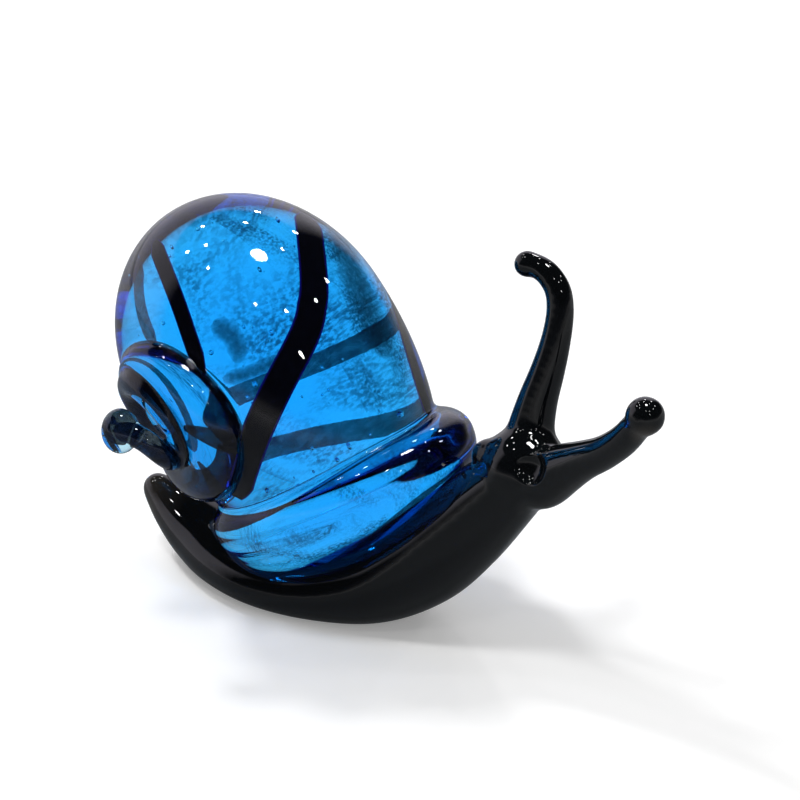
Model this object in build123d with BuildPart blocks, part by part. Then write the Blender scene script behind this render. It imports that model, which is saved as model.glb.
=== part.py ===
"""Flame-worked glass snail: a blue striped coil shell on a black glass body.

The snail faces +X and stands on the flat pressed under its foot, in the plane Z = 0.
The origin is the middle of that flat. Its right flank, where the spire is, faces -Y.
All sizes are in millimetres.
"""
from math import atan2, cos, radians, sin, sqrt
import os

from build123d import *

# Foot and body: one gather of black glass, drawn out to a tail and bent up to a neck
body_length = 43.5
neck_rise = 18.8
foot_half_width = 7.7
body_half_height = 4.9

# Head: a bead on the neck, with a pinched fold behind and a shallow rod mark on its right
head_radius = 4.0
head_half_length = 4.3
neck_slope = 50
fold_radius = 1.6
rod_mark_radius = 1.9
rod_mark_depth = 0.35

# Tentacles: drawn rods, each ending in a fire-polished bead
far_tentacle_reach = 18.0
far_eye_radius = 1.3
near_tentacle_reach = 15.0
near_eye_radius = 1.8

# Lip: the last of the shell glass, squashed to an oval pad that is sunk into the body
lip_half_length = 13.8
lip_half_width = 10.6
lip_half_height = 4.9
lip_slope = 34
lip_forward = 4.3
lip_left = 0.9
lip_sink = 0.7

# Main whorl: a blown-out egg, its blunt end up and back, its point down in the lip
whorl_radius = 12.9
whorl_blunt = 15.5
whorl_point = 23.0
whorl_slope = 47.9
whorl_stand = 16.4
whorl_forward_on_lip = 0.9
whorl_foot_below_lip = 1.4

# Spire: three smaller turns and an end bead, wound about an axis on the right flank
coil_radius = 5.6
bead_radius = 1.75
bead_half_height = 2.15

# Stripes: flat canes of opaque glass on the main whorl, thin round ones on the spire
wide_stripe = 2.9
slim_stripe = 2.4
narrow_stripe = 1.2
stripe_depth = 0.9
cane_radius = 0.8
cane_cover = 0.45

# Cuts run past what they cut by this much
overrun = 1.0

# Where the spire sits, as shares of whorl_radius along the two directions named below
spire_flank_share = 0.72
spire_viewer_share = 0.39

# Places on the head, from its middle, as shares of head_radius: forward, left, up
fold_shares = (-0.78, -0.25, 0.25)
rod_mark_shares = (0.45, -0.76, 0.47)

# Body sections, tail to neck: forward as a share of body_length, up of neck_rise, half height
# of body_half_height, half width of foot_half_width, and the climb, in shares of neck_rise for
# each share of body_length. The saddle is the section that the lip is sunk into
saddle_shares = (0.0570, 0.1380, 0.80, 0.99, 0.243)
body_section_shares = [
    (-0.4420, 0.3720, 0.10, 0.06, -1.942),
    (-0.4370, 0.3620, 0.20, 0.13, -1.942),
    (-0.4250, 0.3390, 0.29, 0.19, -1.808),
    (-0.4040, 0.3010, 0.36, 0.26, -1.620),
    (-0.3650, 0.2450, 0.46, 0.39, -1.230),
    (-0.3000, 0.1820, 0.60, 0.58, -0.752),
    (-0.2070, 0.1360, 0.70, 0.82, -0.366),
    (-0.0800, 0.1170, 0.74, 0.99, -0.081),
    saddle_shares,
    (0.1900, 0.2230, 0.92, 0.88, 0.842),
    (0.2980, 0.3960, 0.98, 0.76, 1.681),
    (0.3880, 0.6080, 0.91, 0.66, 2.396),
    (0.4650, 0.8140, 0.80, 0.57, 2.758),
    (0.5310, 0.9890, 0.68, 0.50, 2.758),
]

# Tentacle rows, root to tip, as shares of the reach: forward, left, up, rod radius
far_tentacle_shares = [
    (-0.017, 0.083, 0.100, 0.130),
    (-0.008, 0.089, 0.202, 0.119),
    (0.014, 0.111, 0.344, 0.103),
    (0.049, 0.144, 0.506, 0.089),
    (0.072, 0.178, 0.661, 0.078),
    (0.074, 0.211, 0.795, 0.072),
    (0.048, 0.233, 0.900, 0.069),
    (-0.020, 0.250, 0.968, 0.066),
    (-0.091, 0.261, 0.992, 0.063),
    (-0.150, 0.267, 0.988, 0.060),
]
near_tentacle_shares = [
    (0.120, -0.060, -0.020, 0.170),
    (0.200, -0.085, 0.025, 0.180),
    (0.338, -0.120, 0.140, 0.156),
    (0.500, -0.173, 0.260, 0.123),
    (0.660, -0.227, 0.373, 0.106),
    (0.807, -0.280, 0.507, 0.098),
    (0.913, -0.320, 0.640, 0.092),
    (0.980, -0.335, 0.733, 0.085),
]

# Spire rows, tip to mouth: turn in degrees, then shares of coil_radius: out along the axis,
# coil radius, rod radius, and how far the turn's middle lies along its straps
bead_row_shares = (42, 1.18, 0.46, 0.17, 0.05)
fourth_whorl_shares = [
    (58, 1.15, 0.48, 0.18, 0.03),
    (90, 1.06, 0.52, 0.19, 0.01),
    (135, 0.90, 0.57, 0.19, -0.01),
    (180, 0.66, 0.61, 0.19, -0.05),
    (225, 0.42, 0.62, 0.20, -0.09),
    (270, 0.30, 0.62, 0.20, -0.12),
    (315, 0.30, 0.63, 0.18, -0.14),
]
third_whorl_shares = [
    (300, 0.29, 0.63, 0.23, -0.13),
    (360, 0.37, 0.65, 0.26, -0.16),
    (405, 0.46, 0.70, 0.26, -0.16),
    (450, 0.50, 0.74, 0.25, -0.16),
    (495, 0.46, 0.77, 0.24, -0.14),
    (540, 0.36, 0.80, 0.24, -0.11),
    (585, 0.22, 0.85, 0.23, -0.07),
    (640, 0.09, 0.93, 0.21, -0.01),
]
second_whorl_shares = [
    (630, 0.08, 0.92, 0.28, -0.02),
    (675, 0.08, 0.98, 0.31, 0.03),
    (720, 0.09, 1.03, 0.33, 0.07),
    (765, 0.08, 1.04, 0.40, 0.09),
    (810, 0.08, 1.05, 0.45, 0.11),
    (855, 0.12, 1.04, 0.50, 0.11),
    (900, 0.18, 1.00, 0.55, 0.09),
    (945, 0.00, 1.00, 0.60, 0.09),
    (990, -0.45, 1.03, 0.66, 0.09),
]

# Stripes of the main whorl: width, then rows of a share of its half length, negative towards
# the blunt end, and the degrees round its axis from the top towards the right flank
stripe_shares = {
    "near_stripe_1": (narrow_stripe, [(-0.88, 71), (-0.75, 67), (-0.50, 66), (-0.27, 67), (-0.03, 69)]),
    "near_stripe_2": (
        wide_stripe,
        [
            (-0.51, -23),
            (-0.39, -6),
            (-0.25, 5),
            (-0.10, 14),
            (0.03, 22),
            (0.11, 37),
            (0.19, 53),
            (0.28, 70),
            (0.37, 87),
            (0.45, 106),
        ],
    ),
    "near_stripe_3": (
        slim_stripe,
        [
            (-0.29, -64),
            (0.0, -50),
            (0.14, -37),
            (0.23, -28),
            (0.33, -22),
            (0.44, -19),
            (0.54, -18),
            (0.62, -21),
        ],
    ),
    "near_stripe_4": (narrow_stripe, [(-0.81, 86), (-0.71, 88), (-0.50, 88), (-0.35, 86)]),
    "far_stripe_1": (slim_stripe, [(-0.05, -162), (0.07, -139), (0.15, -121), (0.25, -95), (0.33, -72)]),
    "far_stripe_2": (slim_stripe, [(0.19, -157), (0.25, -141), (0.37, -128), (0.48, -116), (0.56, -106)]),
    "far_stripe_3": (
        wide_stripe,
        [(-0.79, -70), (-0.77, -100), (-0.71, -130), (-0.58, -160), (-0.42, -188)],
    ),
}

# Canes on the spire: the turns that they run between, and their degrees round the rod from its
# outermost line towards the main whorl
second_cane_turns = (700, 730, 760, 790, 820, 850, 880)
second_cane_angle = 30
third_cane_turns = (375, 400, 425, 450, 475, 500, 525, 550)
third_cane_angle = 0

os.makedirs("parts", exist_ok=True)


def rod(points, radii, across):
    """Round rod of changing thickness through the points, as a loft of circles."""
    last = len(points) - 1
    with BuildPart() as blank:
        for step, (point, radius) in enumerate(zip(points, radii)):
            ahead = points[min(step + 1, last)]
            behind = points[max(step - 1, 0)]
            with BuildSketch(Plane(origin=point, x_dir=across, z_dir=ahead - behind)):
                Circle(radius)
        loft()
    return blank.part


def egg_solid(centre, axis, blunt, point, radius):
    """A round solid of two half ellipsoids that share their widest ring."""
    upright = Plane(origin=centre, x_dir=axis, z_dir=(0, -1, 0))
    with BuildPart() as egg:
        for length, side in ((point, Align.MIN), (blunt, Align.MAX)):
            with BuildSketch(upright):
                Ellipse(length, radius)
                Rectangle(length, radius, align=(side, Align.MIN), mode=Mode.INTERSECT)
            revolve(axis=Axis(centre, axis))
    return egg.part


def cut_out(blank, neighbours):
    """The blank less the neighbours that it is fused to, as separate solids."""
    with BuildPart() as rest:
        add(blank)
        for neighbour in neighbours:
            add(neighbour, mode=Mode.SUBTRACT)
    return rest.part.solids()


def largest(blank, neighbours):
    """What a cut leaves of the blank, without its chips."""
    return cut_out(blank, neighbours).sort_by(SortBy.VOLUME)[-1]


def finish(node, name):
    """Names a node and writes it."""
    node.part.label = name
    export_step(node.part, f"parts/{name}.step")


# Lip blank: lofted ovals square to its long axis, on top of the body's saddle
saddle_top = saddle_shares[1] * neck_rise + saddle_shares[2] * body_half_height
lip_centre = Vector(lip_forward, lip_left, saddle_top + lip_half_height - lip_sink)
lip_rise = radians(lip_slope)
lip_along = Vector(cos(lip_rise), 0, sin(lip_rise))
lip_stations = range(-90, 91, 18)
lip_end_share = 0.06
with BuildPart() as lip_blank:
    for station in lip_stations:
        turned = radians(station)
        girth = max(cos(turned), lip_end_share)
        place = lip_centre + lip_along * lip_half_length * sin(turned)
        with BuildSketch(Plane(origin=place, x_dir=(0, 1, 0), z_dir=lip_along)):
            Ellipse(lip_half_width * girth, lip_half_height * girth)
    loft()

# Main whorl blank: its axis falls forward, and lift is square to it, up and forward
fall = radians(whorl_slope)
whorl_axis = Vector(cos(fall), 0, -sin(fall))
whorl_lift = Vector(sin(fall), 0, cos(fall))
whorl_right = Vector(0, -1, 0)
whorl_centre = lip_centre - whorl_axis * whorl_stand + whorl_lift * whorl_forward_on_lip
seat_plane = Plane(origin=lip_centre + whorl_axis * whorl_foot_below_lip, z_dir=whorl_axis)
with BuildPart() as whorl_blank:
    add(egg_solid(whorl_centre, whorl_axis, whorl_blunt, whorl_point, whorl_radius))
    split(bisect_by=seat_plane, keep=Keep.BOTTOM)
whorl_core = egg_solid(
    whorl_centre,
    whorl_axis,
    whorl_blunt - stripe_depth,
    whorl_point - stripe_depth,
    whorl_radius - stripe_depth,
)


def skin_point(along, degrees):
    """A point on the main whorl's skin, and the direction square to the skin there."""
    half_length = whorl_point if along > 0 else whorl_blunt
    girth = sqrt(1 - along**2)
    radial = whorl_lift * cos(radians(degrees)) + whorl_right * sin(radians(degrees))
    place = whorl_centre + whorl_axis * along * half_length + radial * girth * whorl_radius
    normal = whorl_axis * (along / half_length) + radial * (girth / whorl_radius)
    return place, normal.normalized()


def stripe(width, rows):
    """A flat cane laid over the skin along the rows, then kept to the depth of the skin."""
    spots = [skin_point(along, degrees) for along, degrees in rows]
    last = len(spots) - 1
    with BuildPart() as cane:
        for step, (place, normal) in enumerate(spots):
            heading = spots[min(step + 1, last)][0] - spots[max(step - 1, 0)][0]
            with BuildSketch(Plane(origin=place, x_dir=normal.cross(heading), z_dir=heading)):
                Rectangle(width, 2 * (stripe_depth + overrun))
        loft()
        add(whorl_blank.part, mode=Mode.INTERSECT)
        add(whorl_core, mode=Mode.SUBTRACT)
    return cane.part.solids().sort_by(SortBy.VOLUME)[-1]


stripes = {}
for name, (width, rows) in stripe_shares.items():
    solid = stripe(width, rows)
    with BuildPart() as cane:
        add(solid)
    finish(cane, name)
    stripes[name] = solid

main_whorl_solid = largest(whorl_blank.part, stripes.values())
with BuildPart() as main_whorl:
    add(main_whorl_solid)
finish(main_whorl, "main_whorl")

# Frame of the spire: straps of glass run along across, out follows the winding axis away from
# the main whorl, and near points from that axis to the flank
strap = Vector(0.699, 0.045, -0.714)
flank = Vector(-0.530, -0.638, -0.558)
viewer = Vector(0.480, -0.769, 0.423)
spire_tilt = radians(25)
out = flank * cos(spire_tilt) + viewer * sin(spire_tilt)
near = viewer * cos(spire_tilt) - flank * sin(spire_tilt)
spire_seat = flank * spire_flank_share + viewer * spire_viewer_share
spire_foot = whorl_centre + spire_seat * whorl_radius


def winding(rows):
    """Middle points and rod radii of a stretch of the spire."""
    points = []
    radii = []
    for turn, lift, ring, thick, shift in rows:
        along = strap * (shift - ring * cos(radians(turn)))
        inward = near * ring * sin(radians(turn))
        points.append(spire_foot + (out * lift + along + inward) * coil_radius)
        radii.append(thick * coil_radius)
    return points, radii


second_points, second_radii = winding(second_whorl_shares)
third_points, third_radii = winding(third_whorl_shares)
fourth_points, fourth_radii = winding(fourth_whorl_shares)
second_rod = rod(second_points, second_radii, out)
third_rod = rod(third_points, third_radii, out)
fourth_rod = rod(fourth_points, fourth_radii, out)


def between(rows, turn):
    """The row of a winding at any turn, worked out from the rows on each side of it."""
    for before, after in zip(rows, rows[1:]):
        if before[0] <= turn <= after[0]:
            part_way = (turn - before[0]) / (after[0] - before[0])
            return [low + (high - low) * part_way for low, high in zip(before, after)]
    raise ValueError(f"no row holds the turn {turn}")


def cane_on(rows, turns, degrees):
    """A thin round cane along the side of a winding, its middle just under the surface."""
    spots = []
    for turn in turns:
        (middle,), (radius,) = winding([between(rows, turn)])
        outward = near * sin(radians(turn)) - strap * cos(radians(turn))
        side = outward * cos(radians(degrees)) - out * sin(radians(degrees))
        spots.append(middle + side * (radius - cane_cover))
    return rod(spots, [cane_radius] * len(spots), out)


(bead_centre,), _ = winding([bead_row_shares])
with BuildPart() as spire_bead:
    add(egg_solid(bead_centre, Vector(0, 0, 1), bead_half_height, bead_half_height, bead_radius))
finish(spire_bead, "spire_bead")

second_solid = cut_out(second_rod, [whorl_blank.part]).sort_by(Axis(whorl_centre, out))[-1]
second_cane = cane_on(second_whorl_shares, second_cane_turns, second_cane_angle)
with BuildPart() as second_whorl_stripe:
    add(second_cane)
    add(second_solid, mode=Mode.INTERSECT)
finish(second_whorl_stripe, "second_whorl_stripe")
with BuildPart() as second_whorl:
    add(second_solid)
    add(second_cane, mode=Mode.SUBTRACT)
finish(second_whorl, "second_whorl")

third_solid = largest(third_rod, [whorl_blank.part, second_rod])
third_cane = cane_on(third_whorl_shares, third_cane_turns, third_cane_angle)
with BuildPart() as third_whorl_stripe:
    add(third_cane)
    add(third_solid, mode=Mode.INTERSECT)
finish(third_whorl_stripe, "third_whorl_stripe")
with BuildPart() as third_whorl:
    add(third_solid)
    add(third_cane, mode=Mode.SUBTRACT)
finish(third_whorl, "third_whorl")

fourth_neighbours = [whorl_blank.part, second_rod, third_rod, spire_bead.part]
fourth_solid = largest(fourth_rod, fourth_neighbours)
with BuildPart() as fourth_whorl:
    add(fourth_solid)
finish(fourth_whorl, "fourth_whorl")

lip_solid = largest(lip_blank.part, [whorl_blank.part, second_rod])
with BuildPart() as aperture_lip:
    add(lip_solid)
finish(aperture_lip, "aperture_lip")

# Head
head_centre = Vector(body_section_shares[-1][0] * body_length, 0, neck_rise)
neck = radians(neck_slope)
neck_axis = Vector(cos(neck), 0, sin(neck))
head_bead = egg_solid(head_centre, neck_axis, head_half_length, head_half_length, head_radius)
rod_mark_way = Vector(*rod_mark_shares).normalized()
rod_mark_centre = head_centre + rod_mark_way * (head_radius + rod_mark_radius - rod_mark_depth)
with BuildPart() as head:
    add(head_bead)
    with Locations(head_centre + Vector(*fold_shares) * head_radius):
        Sphere(fold_radius)
    with Locations(rod_mark_centre):
        Sphere(rod_mark_radius, mode=Mode.SUBTRACT)
finish(head, "head")


def tentacle_path(rows, reach):
    """Middle points and radii of a tentacle, from the head's middle out."""
    points = []
    radii = []
    for forward, left, up, thick in rows:
        points.append(head_centre + Vector(forward, left, up) * reach)
        radii.append(thick * reach)
    return points, radii


far_points, far_radii = tentacle_path(far_tentacle_shares, far_tentacle_reach)
far_rod = rod(far_points, far_radii, Vector(0, 1, 0))
with BuildPart() as far_eye:
    with Locations(far_points[-1]):
        Sphere(far_eye_radius)
finish(far_eye, "far_eye")
far_solid = largest(far_rod, [head.part, far_eye.part])
with BuildPart() as far_tentacle:
    add(far_solid)
finish(far_tentacle, "far_tentacle")

near_points, near_radii = tentacle_path(near_tentacle_shares, near_tentacle_reach)
near_rod = rod(near_points, near_radii, Vector(0, 1, 0))
with BuildPart() as near_eye:
    with Locations(near_points[-1]):
        Sphere(near_eye_radius)
finish(near_eye, "near_eye")
near_solid = largest(near_rod, [head.part, far_rod, near_eye.part])
with BuildPart() as near_tentacle:
    add(near_solid)
finish(near_tentacle, "near_tentacle")

# Foot and body, pressed flat underneath and hollowed by all that is fused on to it
with BuildPart() as body_blank:
    for forward, up, high, wide, climb in body_section_shares:
        rise = atan2(climb * neck_rise, body_length)
        place = Vector(forward * body_length, 0, up * neck_rise)
        with BuildSketch(Plane(origin=place, x_dir=(0, 1, 0), z_dir=(cos(rise), 0, sin(rise)))):
            Ellipse(wide * foot_half_width, high * body_half_height)
    loft()
    split(bisect_by=Plane.XY, keep=Keep.TOP)
body_neighbours = [whorl_blank.part, lip_blank.part, second_rod, head.part, near_rod]
body_solid = largest(body_blank.part, body_neighbours)
with BuildPart() as foot_body:
    add(body_solid)
finish(foot_body, "foot_body")
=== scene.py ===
"""Dresses the packed glass snail: fused glass skins, canes, bubbles, a table and lamps.

Lengths in the shape tables are in millimetres, or in shares of the sizes that they follow, and
are turned into metres when a mesh is made. The frame is the one that the solids use: +X towards
the head, +Y to the snail's left, and the table top at Z = 0.
"""
import random
from math import atan, cos, pi, radians, sin, sqrt

import bpy
import numpy as np
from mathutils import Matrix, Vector, kdtree


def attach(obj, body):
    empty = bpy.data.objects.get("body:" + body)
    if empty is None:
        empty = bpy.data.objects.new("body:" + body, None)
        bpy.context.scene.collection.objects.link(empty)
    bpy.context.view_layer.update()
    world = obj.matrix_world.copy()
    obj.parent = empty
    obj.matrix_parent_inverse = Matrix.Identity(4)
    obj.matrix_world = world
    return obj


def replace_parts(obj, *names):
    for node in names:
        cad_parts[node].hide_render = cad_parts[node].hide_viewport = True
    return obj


bl_info = {
    "name": "Glass Snail",
    "version": (1, 0, 0),
    "blender": (4, 5, 0),
    "location": "View3D > Sidebar > Glass Snail",
    "description": "Dresses a flame-worked glass snail and lights it on a white table",
    "category": "Object",
}

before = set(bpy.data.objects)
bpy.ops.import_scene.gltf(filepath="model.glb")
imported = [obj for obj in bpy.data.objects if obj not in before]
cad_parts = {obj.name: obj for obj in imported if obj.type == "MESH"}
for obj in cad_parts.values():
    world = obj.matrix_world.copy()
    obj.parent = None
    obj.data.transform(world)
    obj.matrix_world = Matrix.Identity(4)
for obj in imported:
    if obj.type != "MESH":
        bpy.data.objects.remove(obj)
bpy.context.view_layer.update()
MM = 0.001
ROOT = "root"

BLACK_NODES = ("foot_body", "head", "near_tentacle", "far_tentacle", "near_eye", "far_eye")
BLUE_NODES = ("main_whorl", "aperture_lip", "second_whorl", "third_whorl", "fourth_whorl", "spire_bead")

# The body's section where the lip sits, as a row of the table below
SADDLE_ROW = (0.0570, 0.1380, 0.80, 0.99, 6)

# Body sections, tail to neck, and the saddle's among them: forward as a share of the body's
# length, up of the neck's rise, half height and half width of the body's, and the slope in degrees
BODY_ROWS = (
    (-0.4420, 0.3720, 0.10, 0.06, -40),
    (-0.4370, 0.3620, 0.20, 0.13, -40),
    (-0.4250, 0.3390, 0.29, 0.19, -38),
    (-0.4040, 0.3010, 0.36, 0.26, -35),
    (-0.3650, 0.2450, 0.46, 0.39, -28),
    (-0.3000, 0.1820, 0.60, 0.58, -18),
    (-0.2070, 0.1360, 0.70, 0.82, -9),
    (-0.0800, 0.1170, 0.74, 0.99, -2),
    SADDLE_ROW,
    (0.1900, 0.2230, 0.92, 0.88, 20),
    (0.2980, 0.3960, 0.98, 0.76, 36),
    (0.3880, 0.6080, 0.91, 0.66, 46),
    (0.4650, 0.8140, 0.80, 0.57, 50),
    (0.5310, 0.9890, 0.68, 0.50, 50),
)

# Tentacle rows, root to tip, as shares of the reach: forward, left, up, rod radius
FAR_TENTACLE_ROWS = (
    (-0.060, 0.040, -0.060, 0.150),
    (-0.017, 0.083, 0.100, 0.134),
    (-0.008, 0.089, 0.202, 0.119),
    (0.014, 0.111, 0.344, 0.103),
    (0.049, 0.144, 0.506, 0.089),
    (0.072, 0.178, 0.661, 0.078),
    (0.074, 0.211, 0.795, 0.072),
    (0.048, 0.233, 0.900, 0.069),
    (-0.020, 0.250, 0.968, 0.066),
    (-0.091, 0.261, 0.992, 0.063),
    (-0.150, 0.267, 0.988, 0.060),
)
NEAR_TENTACLE_ROWS = (
    (0.040, -0.030, -0.060, 0.170),
    (0.120, -0.060, -0.020, 0.176),
    (0.200, -0.085, 0.025, 0.178),
    (0.338, -0.120, 0.140, 0.156),
    (0.500, -0.173, 0.260, 0.123),
    (0.660, -0.227, 0.373, 0.106),
    (0.807, -0.280, 0.507, 0.098),
    (0.913, -0.320, 0.640, 0.092),
    (0.980, -0.335, 0.733, 0.085),
)

# Spire rows, tip to mouth: turn in degrees, then shares of the coil's size: out along the
# winding axis, radius of the turn, radius of the rod, and the middle's place along the straps
BEAD_ROW = (42, 1.18, 0.46, 0.17, 0.05)
FOURTH_WHORL_ROWS = (
    (42, 1.17, 0.46, 0.16, 0.05),
    (58, 1.15, 0.48, 0.18, 0.03),
    (90, 1.06, 0.52, 0.19, 0.01),
    (135, 0.90, 0.57, 0.19, -0.01),
    (180, 0.66, 0.61, 0.19, -0.05),
    (225, 0.42, 0.62, 0.20, -0.09),
    (270, 0.30, 0.62, 0.20, -0.12),
    (315, 0.30, 0.63, 0.18, -0.14),
)
THIRD_WHORL_ROWS = (
    (300, 0.29, 0.63, 0.23, -0.13),
    (360, 0.37, 0.65, 0.26, -0.16),
    (405, 0.46, 0.70, 0.26, -0.16),
    (450, 0.50, 0.74, 0.25, -0.16),
    (495, 0.46, 0.77, 0.24, -0.14),
    (540, 0.36, 0.80, 0.24, -0.11),
    (585, 0.22, 0.85, 0.23, -0.07),
    (640, 0.09, 0.93, 0.21, -0.01),
)
SECOND_WHORL_ROWS = (
    (630, 0.08, 0.92, 0.28, -0.02),
    (675, 0.08, 0.98, 0.31, 0.03),
    (720, 0.09, 1.03, 0.33, 0.07),
    (765, 0.08, 1.05, 0.43, 0.09),
    (810, 0.08, 1.07, 0.49, 0.11),
    (855, 0.12, 1.06, 0.53, 0.11),
    (900, 0.18, 1.00, 0.55, 0.09),
    (945, 0.00, 1.00, 0.60, 0.09),
    (990, -0.45, 1.03, 0.66, 0.09),
)

# Directions that the spire is laid out by: along the strap of each turn, out of the right flank
# and towards the photo's camera, and the winding axis's tilt from the flank towards the camera
STRAP = (0.699, 0.045, -0.714)
FLANK = (-0.530, -0.638, -0.558)
VIEWER = (0.480, -0.769, 0.423)
COIL_TILT = 25

# Place of the spire's middle, as shares of the whorl's radius out of the flank and to the camera
SPIRE_SHARES = (0.72, 0.39)

# Depth, in mm, that the main whorl reaches past the lip's middle before it is cut flat
WHORL_REACH = 1.4

# Growth of the roll round the lip at its rear end, as a share of its radius
RIM_REAR_GROWTH = 0.22

# Middle of the pinched fold, in head radii from the head's middle, and the rod mark's direction
FOLD_PLACE = (-0.78, -0.25, 0.25)
ROD_MARK_WAY = (0.45, -0.76, 0.47)

# Height, in mm, below which the black skin is pressed flat on to the table
PRESSED_BELOW = 0.06

# Step of the remeshing that fuses the glass, in mm: the black and the blue skin
BLACK_VOXEL = 0.2
BLUE_VOXEL = 0.22

# Rounds of relaxing the black skin so that its gathers flow together
BLACK_FLOW = 22

# Bubbles in the cluster under the skin's smoky patch
CLUSTER_BUBBLES = 26

# Rounds of moving a skin's points on to its distance field, and the least square of its slope
# that a move is divided by
FITTING_ROUNDS = 3
LEAST_STEEP = 0.2

# The streaky veil's length and girth as shares of the main whorl's, where it ends along the
# axis, its span in degrees round the axis, and the lip veil's size as shares of the lip's
VEIL_LENGTH = 0.86
VEIL_GIRTH = 0.8
VEIL_ENDS = (-0.86, 0.62)
VEIL_SPAN = (-200, 20)
LIP_VEIL = (0.86, 0.86, 0.7)

# Painted shade in the spire's last turns, as dark cores: the rows that each follows, the turn that it
# starts after, and its thickness at both ends as a share of the glass round it
SPIRE_SHADE_CORES = (
    (SECOND_WHORL_ROWS, 850, (0.08, 0.62)),
    (FOURTH_WHORL_ROWS, 0, (0.72, 0.72)),
    (THIRD_WHORL_ROWS, 0, (0.42, 0.42)),
)

# The end bead's dark core of painted shade: its size as a share of the bead's, and its rise in mm
BEAD_SHADE_CORE = 0.62
BEAD_SHADE_CORE_RISE = 0.4

# Where the tail's smoke starts and is full, as metres forward, the middle of the near eye's
# clear tip, and the distances from it between which the glass clears, in metres
TAIL_SMOKE = (-0.0135, -0.0195)
EYE_TIP = (0.0388, -0.0066, 0.0279)
EYE_CLEARING = (0.0022, 0.0006)

# Canes in the main whorl: width in mm, then rows of a share of its half length, negative
# towards the blunt end, and the degrees round its axis from the top towards the right flank
CANES = {
    "near_stripe_1": (1.6, ((-0.88, 72), (-0.75, 68), (-0.50, 68), (-0.27, 71), (-0.03, 75))),
    "near_stripe_2": (
        2.9,
        ((-0.51, -23), (-0.39, -6), (-0.25, 5), (-0.10, 14), (0.03, 22), (0.11, 37), (0.19, 53))
        + ((0.28, 70), (0.37, 87), (0.45, 106)),
    ),
    "near_stripe_3": (
        2.4,
        ((-0.29, -64), (0.0, -50), (0.14, -37), (0.23, -28), (0.33, -22), (0.44, -19), (0.54, -18))
        + ((0.62, -21),),
    ),
    "near_stripe_4": (1.4, ((-0.81, 88), (-0.71, 91), (-0.50, 91), (-0.35, 89))),
    "far_stripe_1": (1.4, ((-0.05, -162), (0.07, -139), (0.15, -121), (0.25, -95), (0.33, -72))),
    "far_stripe_2": (1.3, ((0.19, -157), (0.25, -141), (0.37, -128), (0.48, -116), (0.56, -106))),
    "far_stripe_3": (0.55, ((-0.79, -70), (-0.77, -100), (-0.71, -130), (-0.58, -160), (-0.42, -188))),
}

# Smoky patches in the main whorl's skin, laid like canes
SMOKE = {
    "skin_smoke_1": (2.2, ((-0.26, 60), (-0.18, 57), (-0.08, 55), (0.02, 60))),
    "skin_smoke_2": (1.6, ((0.04, 70), (0.07, 62), (0.09, 53), (0.10, 44))),
    "skin_smoke_3": (5.0, ((-0.34, -34), (-0.14, -18), (0.05, -8), (0.20, -6), (0.34, -4))),
}

# A cane's make: rounds of smoothing of its rows, points across it, rows that its rounded ends
# take, and its thickness at the edge as a share of its thickness in the middle
CANE_ROUNDS = 60
CANE_POINTS = 9
CANE_END_ROWS = 5
CANE_EDGE = 0.12

# Glass over the smoky patches, their thickness, and glass over the spire's streaks, in mm
SMOKE_COVER = 0.9
SMOKE_DEPTH = 0.5
STREAK_COVER = 0.1

# Canes so thin or so deep in the glass that they only dim what is behind them
SHEER_CANES = ("near_stripe_4", "far_stripe_1", "far_stripe_2", "far_stripe_3", "second_whorl_stripe")

# Canes on the spire: the rows that they follow, the turns that they run between, their degrees
# at both ends round the rod from its outermost line towards the main whorl, and their half width
# in mm
SPIRE_CANES = {
    "second_whorl_stripe": (SECOND_WHORL_ROWS, (700, 880), (30, 30), 0.5),
    "third_whorl_stripe": (THIRD_WHORL_ROWS, (375, 550), (0, 0), 0.55),
}

# Smoky streaks that cross the second whorl, laid like its cane
SPIRE_SMOKE = {
    "whorl_smoke_1": (SECOND_WHORL_ROWS, (818, 864), (-90, 50), 0.9),
    "whorl_smoke_2": (SECOND_WHORL_ROWS, (855, 915), (-85, 0), 0.55),
}

# Half width of the table top, in metres
TABLE_REACH = 1.6

# Distances from the table's middle, in metres, over which the painted shadow in its mirror image fades to
# lighter, and over which its far part starts to glow for the camera, and the brightness of that glow
PAINTED_SHADE_FADE = (0.08, 0.3)
FAR_FADE = (0.25, 0.6)
FAR_GLOW = 3.2

# Where the lamps are seen from the table: forward, left and up
OVERHEAD_WAY = (0.08, 0.10, 1.0)
WINDOW_WAY = (-0.80, 0.16, 1.0)
FRONT_WAY = (-0.10, -0.30, 1.0)

# Where the lamps aim and where the camera looks, in metres
LAMP_AIM = (0.002, 0.0, 0.018)
LOOK_AT = (0.00484, 0.0082, 0.01795)

# Heading of the middle of the white sweep behind the table
SWEEP_WAY = (-0.92, 0.391, 0.0)

# Small lamps round the overhead one, as places on a ceiling one unit up: forward, left
LAMP_PLACES = (
    (-0.55, 1.15),
    (-0.34, 0.56),
    (-0.78, 0.32),
    (-0.51, -0.07),
    (-0.81, -0.21),
    (-0.36, -0.42),
    (0.41, -0.58),
    (0.78, -0.32),
    (0.91, 0.32),
    (0.72, 0.86),
    (0.17, 0.46),
    (-0.03, 1.10),
    (1.36, -0.76),
)


def length(name, description, default):
    """A length property in metres, given in millimetres."""
    return bpy.props.FloatProperty(
        name=name, description=description, default=default * MM, min=0.0, precision=5, unit="LENGTH"
    )


def angle(name, description, default):
    """An angle property, given in degrees."""
    return bpy.props.FloatProperty(
        name=name, description=description, default=radians(default), subtype="ANGLE"
    )


def power(name, description, default):
    """A lamp's power property, in watts."""
    return bpy.props.FloatProperty(
        name=name, description=description, default=default, min=0.0, unit="POWER"
    )


def tint(name, description, default):
    """A colour property."""
    return bpy.props.FloatVectorProperty(
        name=name, description=description, default=default, min=0.0, max=1.0, size=3, subtype="COLOR"
    )


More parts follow.
